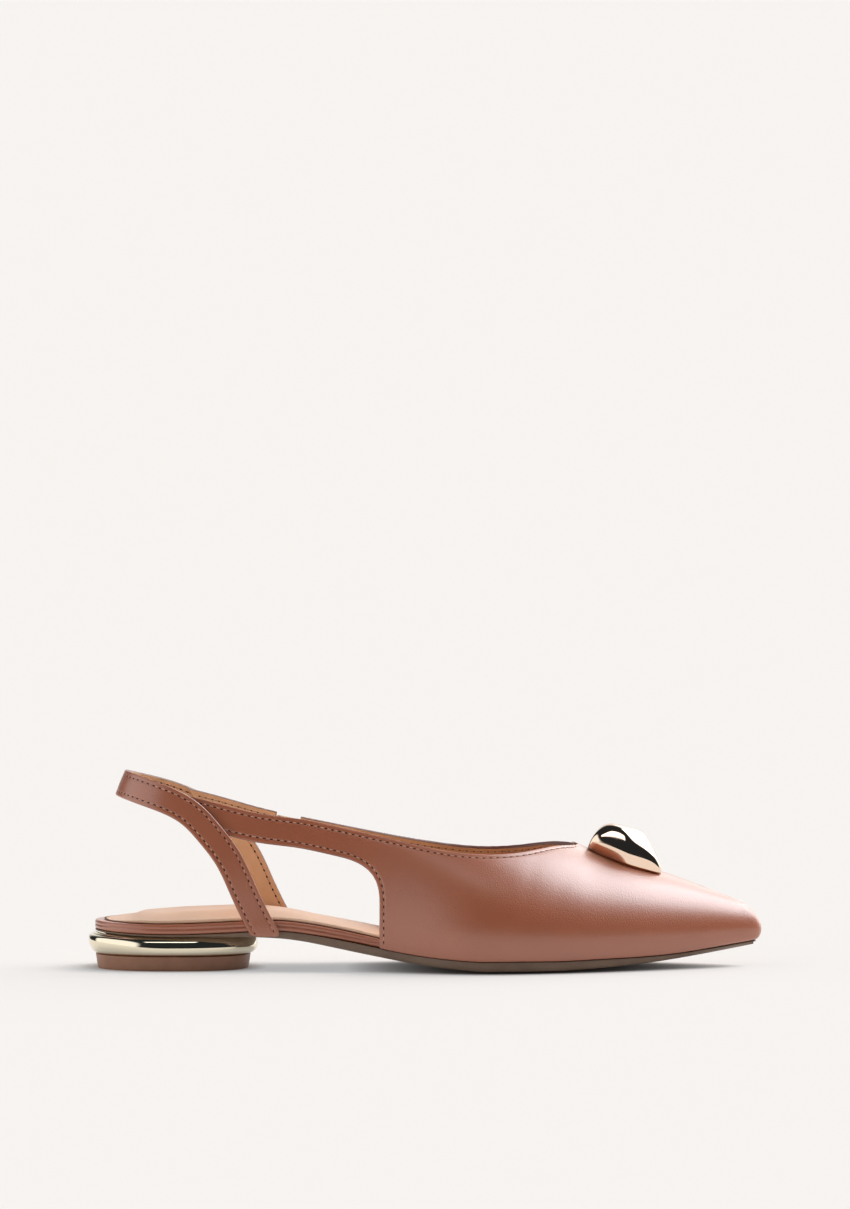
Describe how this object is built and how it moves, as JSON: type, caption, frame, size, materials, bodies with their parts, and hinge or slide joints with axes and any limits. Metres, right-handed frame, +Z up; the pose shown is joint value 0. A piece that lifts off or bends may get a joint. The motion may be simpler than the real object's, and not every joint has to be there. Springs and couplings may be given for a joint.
{
  "type": "sling-back flat shoe",
  "caption": "Pointed women's flat with open sides, a sling strap behind the heel, a low oval metal heel and a metal pebble on the vamp; right shoe.",
  "frame": {"origin": "centre of the shoe's length and width, on the floor", "axes": "+X to the toe, +Y to the inside of the foot, +Z up"},
  "size_m": [0.2621, 0.0819, 0.0782],
  "materials": {
    "outsole": "matt taupe moulded sole",
    "insole_board": "board wrapped in rose tan smooth leather",
    "sock": "soft peach leather over thin foam",
    "heel_block": "pale gold plating over moulded plastic, polished",
    "top_piece": "matt brown walking piece",
    "upper": "rose tan smooth leather, lined",
    "elastic_gore": "tan woven elastic",
    "medial_tab": "rose tan smooth leather, lined",
    "sling_strap": "rose tan smooth leather, lined",
    "ornament": "rose gold plating over moulded plastic, polished"
  },
  "bodies": {
    "root": {"outsole": "outsole", "insole_board": "insole_board", "sock": "sock", "heel_block": "heel_block", "top_piece": "top_piece", "upper": "upper", "elastic_gore": "elastic_gore", "medial_tab": "medial_tab", "sling_strap": "sling_strap", "ornament": "ornament"}
  },
  "joints": []
}
